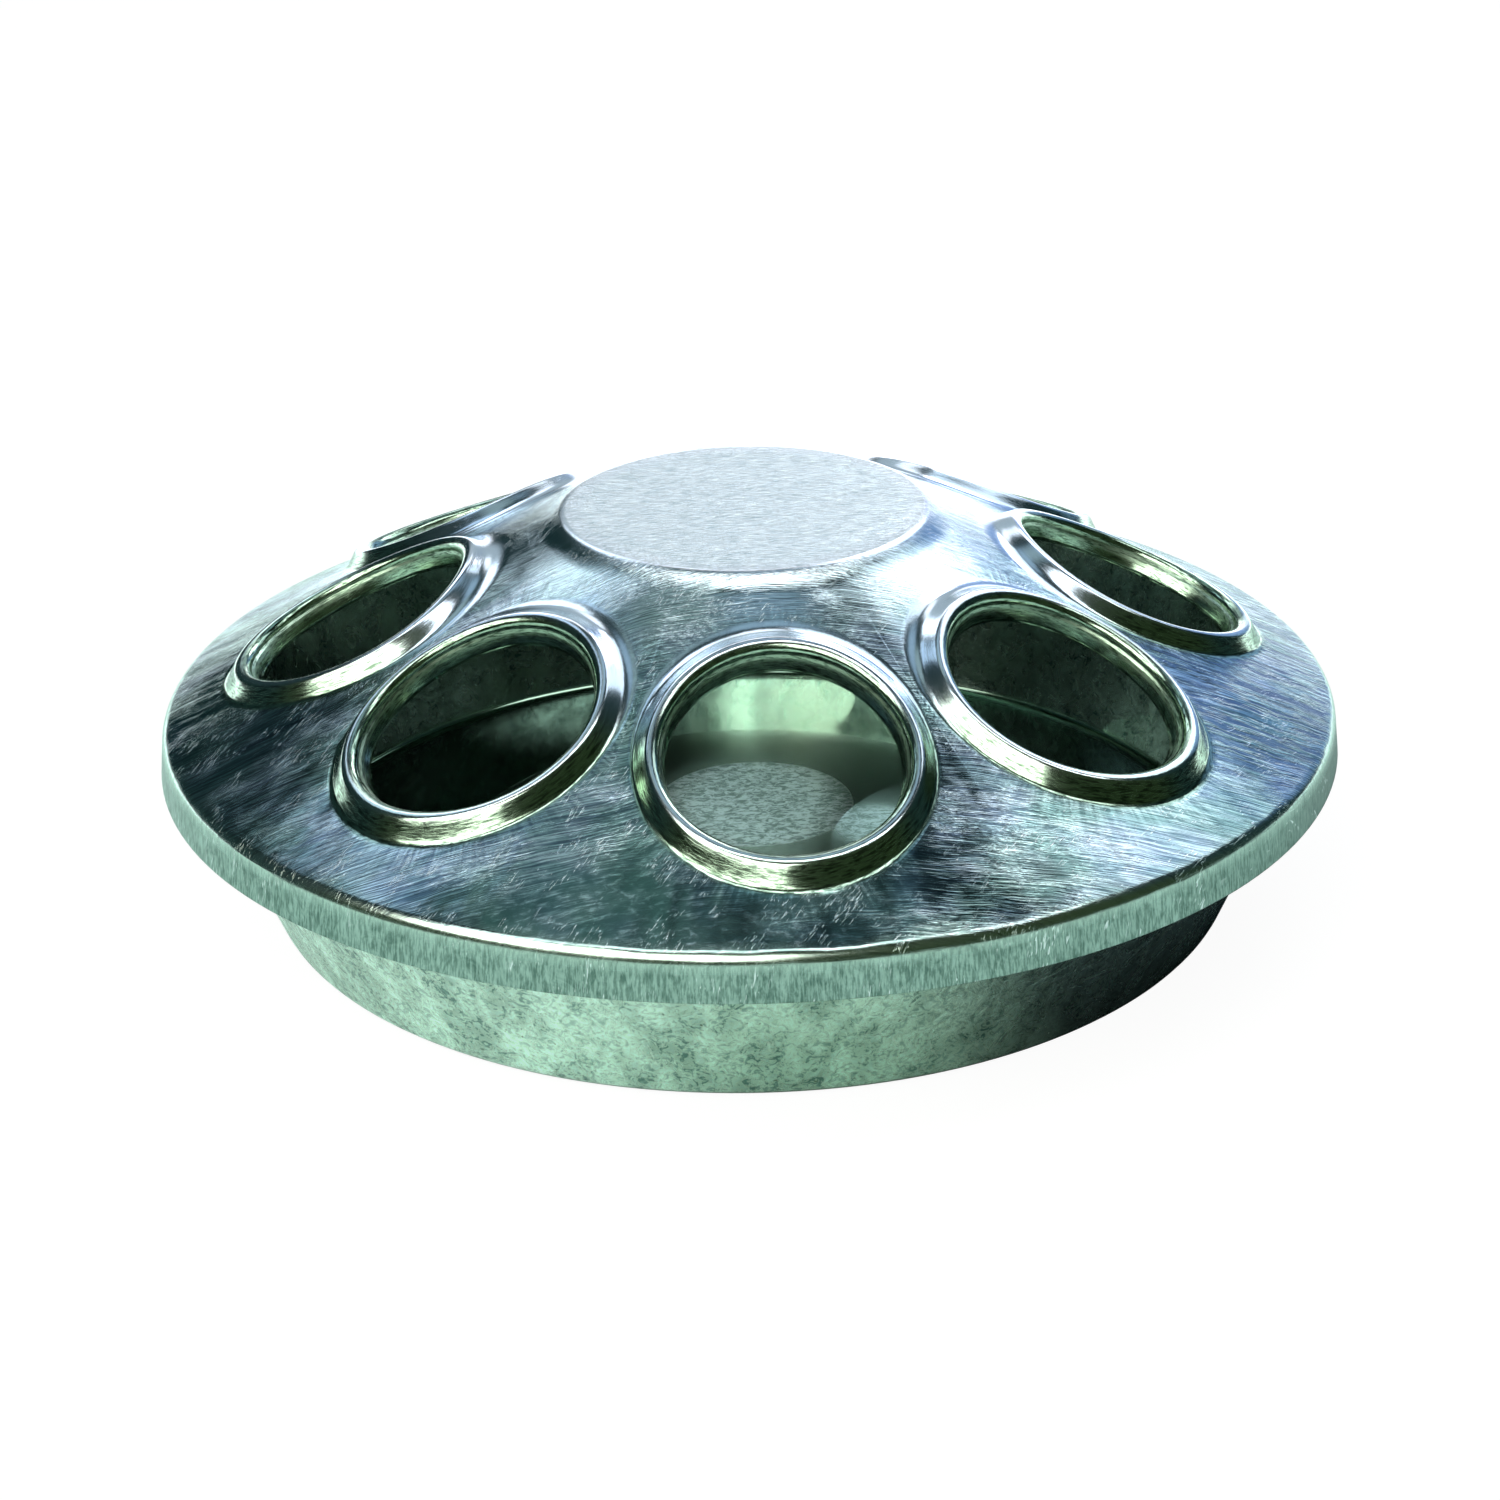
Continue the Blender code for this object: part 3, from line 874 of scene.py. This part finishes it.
    def relief(self):
        """The height of grain, scratches' burrs, pressing waves and furrows."""
        pressed = self.either(self.collar, self.edge)
        plain = self.without(self.either(pressed, self.either(self.skirt, self.disc)))
        depth = self.blend(self.calm, self.blend(self.patchy, GRAIN_SHALLOW, GRAIN_DEEP), GRAIN_CALM)
        depth = self.blend(self.disc, depth, GRAIN_ON_DISC)
        height = self.times(self.grain, self.blend(pressed, depth, GRAIN_ON_COLLAR))
        height = self.math("MULTIPLY_ADD", self.bare, SCRATCH_BURR, height)
        height = self.math("MULTIPLY_ADD", self.times(self.waves(), plain), WAVE_DEPTH, height)
        return self.math("MULTIPLY_ADD", self.times(self.furrows, plain), FURROW_DEPTH, height)

    def waves(self):
        """Noise of the angle round the feeder's axis, which changes slowly with the distance from it: bands
        that run outwards, and die out towards the neck."""
        outward = self.vector("NORMALIZE", self.vector("MULTIPLY", self.place, (1.0, 1.0, 0.0)))
        up = self.join(Z=self.math("DIVIDE", self.distance, WAVE_LENGTH))
        wound = self.add("VectorMath", {"operation": "MULTIPLY_ADD"}, _0=outward, _1=WAVES_ROUND, _2=up)
        swell = self.math("SUBTRACT", self.noise(wound.outputs[0], 1.0, 2.0, WAVE_RAGGED), 0.5)
        return self.times(swell, self.band(self.distance, *WAVED_FROM_AXIS))


# Marks of the pan's zinc
PAN_CLOUD_SIZE = 4.5
FINE_CLOUD_SIZE = 1.3
FINE_SHIFT = (30.0, 0.0, 9.0)
RUNS = ((5.0, 5.0, 22.0), 2.0, 0.55)
RUNS_BAND = (0.40, 0.60, -0.10, 0.30)
PIT_SCALE = 1.5
PITS = (0.30, 0.22)
PITTED_SIZE = 8.0
PAN_SCRATCHES = {"Length": 2.5, "Width": 0.3, "Amount": 0.5}
CLOUD_SHARE = 0.30
FINE_SHARE = 0.50
RIDGE_SHARE = 0.35
PIT_SHARE = 0.8

# Colors of the pan's zinc
PAN_DARK = (0.13, 0.23, 0.21)
PAN_LIGHT = (0.80, 1.0, 0.91)
PAN_RIDGE = (0.86, 0.98, 0.80)
PAN_SCRATCH = (0.85, 0.95, 0.86)
PAN_PIT = (0.08, 0.12, 0.08)
# Painted shade: what the pan's inner face is darkened by
INSIDE_PAINTED_SHADE = (0.42, 0.44, 0.46)
SPECK_DARK = (0.07, 0.11, 0.09)
SPECK_LIGHT = (0.27, 0.34, 0.31)
RUBBED_COLOR = (0.27, 0.38, 0.30)

# The pan's floor: its raised centre is rubbed smooth but for two dull, speckled rounds
CENTRE_EDGE = (CENTRE_RADIUS + 1.1, CENTRE_RADIUS + 0.5)
FLOOR_EDGE = (SHEET + 1.4, SHEET + 0.6)
SPECKS = ((1.3, 0.7, 2.0), 4.0, 0.75, 0.8)
SPECKS_BAND = (0.42, 0.56)
DULL_PLACE = (1.8, 14.7, 0.0)
DULL_EDGE = (14.0, 13.2)
FADED_PLACE = (17.5, 6.0, 0.0)
FADED_EDGE = (8.0, 4.0, 0.0, 0.8)
RUBBED_SHARE = 0.8

# Roughness of the pan, and the depth of its relief in millimetres
PAN_ROUGH = 0.30
PAN_CLOUD_ROUGH = 0.20
SPECKLED_ROUGH = 0.33
RUBBED_ROUGH = 0.22
RING_ROUGH = 0.10
FINE_DEPTH = 0.03
CLOUD_DEPTH = 0.07
INSIDE_RELIEF = 0.25
FLOOR_RELIEF = 0.08

# Where the pan's inner face gives way to its outer one, in millimetres out from the inner
INNER_FACE = (0.7 * SHEET, 0.4 * SHEET)


class PanFinish(Finish):
    """Clouded zinc with ragged crystal edges, pits and stains that ran down its wall, and inside, darkened as
    painted shade, a floor that is part rubbed smooth."""

    def __init__(self, tree, effects):
        super().__init__(tree, effects)
        self.cloud = self.effect("crystals", Size=PAN_CLOUD_SIZE)["Cloud"]
        self.fine = self.effect("crystals", FINE_SHIFT, Size=FINE_CLOUD_SIZE)
        up = self.split(self.place)[2]
        self.inside = self.inner_face(up)
        self.centre = self.times(self.inside, self.band(self.distance, *CENTRE_EDGE))
        low = self.times(self.inside, self.band(up, *FLOOR_EDGE))
        self.ring = self.times(low, self.without(self.centre))
        dull = self.band(self.away_from(DULL_PLACE), *DULL_EDGE)
        faded = self.band(self.away_from(FADED_PLACE), *FADED_EDGE)
        self.rubbed = self.times(self.centre, self.without(self.either(dull, faded)))

    def inner_face(self, up):
        """1 on the pan's inner face and 0 on its outer face. The two are a sheet apart, so the border runs
        between them: the inner wall's line, moved out by part of the sheet."""
        foot = WALL_FOOT - SHEET * math.tan(WALL_LEAN)
        wall = self.math("MULTIPLY_ADD", up, math.tan(WALL_LEAN), foot)
        return self.band(self.math("SUBTRACT", self.distance, wall), *INNER_FACE)

    def away_from(self, place):
        return self.from_axis(self.vector("SUBTRACT", self.place, place))

    def zinc_color(self):
        """The clouded zinc of the outer wall, with its runs, ridges, scratches and pits."""
        shade = self.math("MULTIPLY_ADD", self.cloud, CLOUD_SHARE, self.times(self.fine["Cloud"], FINE_SHARE))
        shade = self.math("ADD", shade, self.band(self.drawn(self.place, *RUNS), *RUNS_BAND))
        color = self.mix(shade, PAN_DARK, PAN_LIGHT)
        color = self.mix(self.times(self.fine["Ridges"], RIDGE_SHARE), color, PAN_RIDGE)
        color = self.mix(self.effect("scratches", **PAN_SCRATCHES)[0], color, PAN_SCRATCH)
        pitted = self.effect("smudge", Size=PITTED_SIZE)[0]
        pits = self.times(self.band(self.noise(self.place, PIT_SCALE, 1.0), *PITS), pitted)
        return self.mix(self.times(pits, PIT_SHARE), color, PAN_PIT)

    def color(self):
        color = self.zinc_color()
        # painted shade: the inside of the pan is darkened
        color = self.mix(self.inside, color, self.vector("MULTIPLY", color, INSIDE_PAINTED_SHADE))
        specks = self.band(self.drawn(self.place, *SPECKS), *SPECKS_BAND)
        color = self.mix(self.centre, color, self.mix(specks, SPECK_DARK, SPECK_LIGHT))
        smooth = self.either(self.ring, self.times(self.rubbed, RUBBED_SHARE))
        return self.mix(smooth, color, RUBBED_COLOR)

    def roughness(self):
        rough = self.blend(self.cloud, PAN_ROUGH, PAN_CLOUD_ROUGH)
        rough = self.blend(self.centre, rough, self.blend(self.rubbed, SPECKLED_ROUGH, RUBBED_ROUGH))
        return self.blend(self.ring, rough, RING_ROUGH)

    def relief(self):
        """The height of the crystals, nearly worn away on the floor."""
        height = self.times(self.fine["Cloud"], FINE_DEPTH)
        height = self.math("MULTIPLY_ADD", self.cloud, CLOUD_DEPTH, height)
        height = self.times(height, self.blend(self.inside, 1.0, INSIDE_RELIEF))
        floor = self.either(self.ring, self.centre)
        return self.times(height, self.blend(floor, 1.0, FLOOR_RELIEF))


def zinc_material(name, kind, effects):
    """Metal with a finish of this kind."""
    material = new_material(name)
    finish = kind(material.node_tree, effects)
    relief = finish.add("Bump", Strength=1.0, Distance=MM, Height=finish.relief())
    shader = finish.add("BsdfPrincipled", Base_Color=finish.color(), Metallic=1.0,
                        Roughness=finish.roughness(), Normal=relief.outputs[0])
    finish.add("OutputMaterial", Surface=shader.outputs[0])
    return material


# Panels of the studio: azimuth and elevation, width and height in metres, color, radiance
PANELS_FACE = Vector((0.0, 0.0, 0.03))
PANELS = {
    "key": (-142, 42, 1.15, 0.56, (1.0, 1.0, 0.90), 3.6),
    "overhead_front": (180, 83, 1.5, 0.24, (0.94, 0.99, 1.0), 3.0),
    "back_right": (42, 45, 0.62, 0.42, (0.80, 0.92, 1.0), 1.5),
    "neck_glow": (28, 37, 0.36, 0.28, (1.0, 1.0, 1.0), 3.0),
    "back_left": (-43, 50, 0.28, 0.22, (0.62, 0.82, 1.0), 1.0),
}

# Beams into the pan: target in millimetres, azimuth, elevation, whole angle, faded share, color, watts
BEAM_SOURCE_RADIUS = 0.003
BEAMS = {
    "on_floor": ((1.8, 14.7, 1.3), -0.5, 45.5, 1.3, 0.06, (0.77, 0.94, 1.0), 10.6),
    "on_floor_right": ((17.5, 6.5, 1.3), 16.0, 46.0, 0.9, 1.0, (0.70, 0.88, 1.0), 28.0),
    "on_wall": ((7.0, 64.5, 10.0), 190, 66, 1.9, 0.5, (0.92, 1.0, 0.86), 3.6),
    "on_wall_middle": ((8.5, 64.3, 7.0), 190, 68, 0.30, 0.9, (1.0, 0.97, 0.84), 17.0),
    "on_wall_right": ((17.0, 62.6, 7.0), 207, 62, 0.38, 0.9, (1.0, 0.94, 0.78), 76.0),
    "beside_wall_right": ((21.0, 61.2, 8.0), 236, 54, 1.6, 0.6, (0.92, 1.0, 0.86), 8.0),
    "on_side_wall": ((58.0, 25.0, 3.0), 280, 21, 1.0, 0.8, (0.60, 1.0, 0.70), 1.5),
}


def direction(azimuth, elevation):
    """A unit vector. Azimuth is from +Y towards +X, in degrees."""
    around, up = math.radians(azimuth), math.radians(elevation)
    return Vector((math.sin(around) * math.cos(up), math.cos(around) * math.cos(up), math.sin(up)))


def place_light(light, target, azimuth, elevation):
    """Puts a light one metre from its target, facing it."""
    away = direction(azimuth, elevation)
    lamp = new_object(light.name, light)
    lamp.location = target + away
    lamp.rotation_mode = "QUATERNION"
    lamp.rotation_quaternion = away.to_track_quat("Z", "Y")


def make_lights():
    """Panels as bright as their radiance says whatever their size, and narrow beams, which come through the
    feed holes."""
    for name, (azimuth, elevation, width, height, color, radiance) in PANELS.items():
        light = bpy.data.lights.new(name, "AREA")
        light.shape = "RECTANGLE"
        light.size = width
        light.size_y = height
        light.color = color
        light.energy = radiance * math.pi * width * height
        place_light(light, PANELS_FACE, azimuth, elevation)
    for name, (target, azimuth, elevation, angle, faded, color, power) in BEAMS.items():
        light = bpy.data.lights.new(name, "SPOT")
        light.spot_size = math.radians(angle)
        light.spot_blend = faded
        light.shadow_soft_size = BEAM_SOURCE_RADIUS
        light.color = color
        light.energy = power
        place_light(light, Vector(target) * MM, azimuth, elevation)


# The paper floor. Rightward is the share of a place's distance that lies to the right and a little behind
FLOOR_HALF = 1.6
BEHIND_SHARE = 0.35
SHADED_AREA = ((-0.26, 0.30), (112.0, 88.0))
LIT_AREA = ((-0.35, -0.85, 0.0, 0.24), (100.0, 80.0))
SWEEP_BEHIND = (130.0, 300.0, 0.0, 1.8)
PAPER = (0.76, 0.97, 0.92)
PAPER_SHADED = (0.06, 0.08, 0.09)
SWEEP_COLOR = (0.92, 0.97, 1.0)
WHITE = (1.0, 1.0, 1.0)
SEEN_PAPER_GLOW = 0.95
SEEN_PAPER = (0.10, 0.10, 0.10)


def make_floor():
    """A pale floor, which the camera sees evenly white, as on a sweep of paper. What the zinc reflects of it
    is the paper near the feeder, the shade close to its right side, and the bright sweep far behind."""
    mesh = bpy.data.meshes.new("floor")
    corners = [(-1, -1), (1, -1), (1, 1), (-1, 1)]
    mesh.from_pydata([(x * FLOOR_HALF, y * FLOOR_HALF, 0.0) for x, y in corners], [], [(0, 1, 2, 3)])
    mesh.materials.append(paper_material())
    floor = new_object("floor", mesh)


def paper_material():
    material = new_material("pale_paper")
    nodes = Nodes(material.node_tree)
    place = nodes.in_millimetres()
    right, behind = nodes.split(place)[:2]
    distance = nodes.length(place)
    rightward = nodes.math("DIVIDE", nodes.math("MULTIPLY_ADD", behind, BEHIND_SHARE, right), distance)
    shaded = nodes.area(rightward, distance, SHADED_AREA)
    paper = nodes.add("BsdfDiffuse", Color=nodes.mix(shaded, PAPER, PAPER_SHADED))
    lit = nodes.area(rightward, distance, LIT_AREA)
    glow = nodes.math("ADD", nodes.band(behind, *SWEEP_BEHIND), lit)
    sweep = nodes.add("Emission", Color=SWEEP_COLOR, Strength=glow)
    mirrored = nodes.add("AddShader", _0=paper.outputs[0], _1=sweep.outputs[0])
    seen = nodes.add("Emission", Color=WHITE, Strength=SEEN_PAPER_GLOW)
    faint = nodes.add("BsdfDiffuse", Color=SEEN_PAPER)
    even = nodes.add("AddShader", _0=seen.outputs[0], _1=faint.outputs[0])
    ray = nodes.add("LightPath").outputs["Is Camera Ray"]
    both = nodes.add("MixShader", _0=ray, _1=mirrored.outputs[0], _2=even.outputs[0])
    nodes.add("OutputMaterial", Surface=both.outputs[0])
    return material


# Glows of the studio: azimuth and elevation, the angles where each ends and where it is full, color
STUDIO_BEHIND = (0.012, 0.030, 0.032)
STUDIO_IN_FRONT = (0.026, 0.042, 0.020)
FRONT_BAND = (0.2, -0.3)
GLOWS = (
    (34, 17, 28, 12, (0.24, 0.39, 0.67)),
    (10, 66, 13, 3, (0.32, 0.47, 0.57)),
    (-34, 68, 12, 4, (0.30, 0.42, 0.42)),
    (-18, 37, 12, 4, (2.2, 2.5, 2.7)),
    (12, -4, 21, 12, (2.0, 2.1, 2.2)),
    (0, 26, 18, 8, (0.40, 0.49, 0.53)),
    (2, 39, 9, 4, (1.5, 1.6, 1.65)),
)


def make_world():
    """White for the camera. What the zinc reflects is a dim studio, dark behind and olive in front, with
    glows placed where the photograph's cone, disc and collars mirror them."""
    world = bpy.data.worlds.new("studio")
    bpy.context.scene.world = world
    world.use_nodes = True
    world.node_tree.nodes.clear()
    nodes = Nodes(world.node_tree)
    toward = nodes.add("TexCoord").outputs["Generated"]
    ahead = nodes.band(nodes.split(toward)[1], *FRONT_BAND)
    color = nodes.mix(ahead, STUDIO_BEHIND, STUDIO_IN_FRONT)
    for azimuth, elevation, end, full, glow_color in GLOWS:
        aim = tuple(direction(azimuth, elevation))
        along = nodes.add("VectorMath", {"operation": "DOT_PRODUCT"}, _0=toward, _1=aim)
        edges = [math.cos(math.radians(angle)) for angle in (end, full)]
        color = nodes.mix(nodes.band(along.outputs["Value"], *edges), color, glow_color)
    studio = nodes.add("Background", Color=color, Strength=1.0)
    white = nodes.add("Background", Color=WHITE, Strength=1.0)
    ray = nodes.add("LightPath").outputs["Is Camera Ray"]
    both = nodes.add("MixShader", _0=ray, _1=studio.outputs[0], _2=white.outputs[0])
    nodes.add("OutputWorld", Surface=both.outputs[0])


def make_camera():
    """The camera of the photograph, found by fitting the feeder's outline and its hole rims."""
    camera = bpy.data.cameras.new("camera")
    camera.lens = LENS
    camera.sensor_width = SENSOR
    camera.clip_start = NEAREST_SEEN
    obj = new_object("camera", camera)
    obj.matrix_world = (Matrix.Rotation(CAMERA_TURN, 4, "Z") @ Matrix.Translation(CAMERA_PLACE)
                        @ Matrix.Rotation(CAMERA_DIP, 4, "X") @ Matrix.Rotation(CAMERA_ROLL, 4, "Z"))
    bpy.context.scene.camera = obj
    bpy.context.scene.view_settings.view_transform = "Standard"


def main():
    effects = {"strokes": strokes_group(), "crystals": crystals_group(), "scratches": scratches_group(),
               "smudge": smudge_group()}
    lid = lid_sheet()
    lid.data.materials.append(zinc_material("lid_zinc_finish", LidFinish, effects))
    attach(lid, "lid")
    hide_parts("lid")
    pan = pan_sheet()
    pan.data.materials.append(zinc_material("pan_zinc_finish", PanFinish, effects))
    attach(pan, "pan")
    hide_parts("pan")
    make_floor()
    make_world()
    make_lights()
    make_camera()


main()
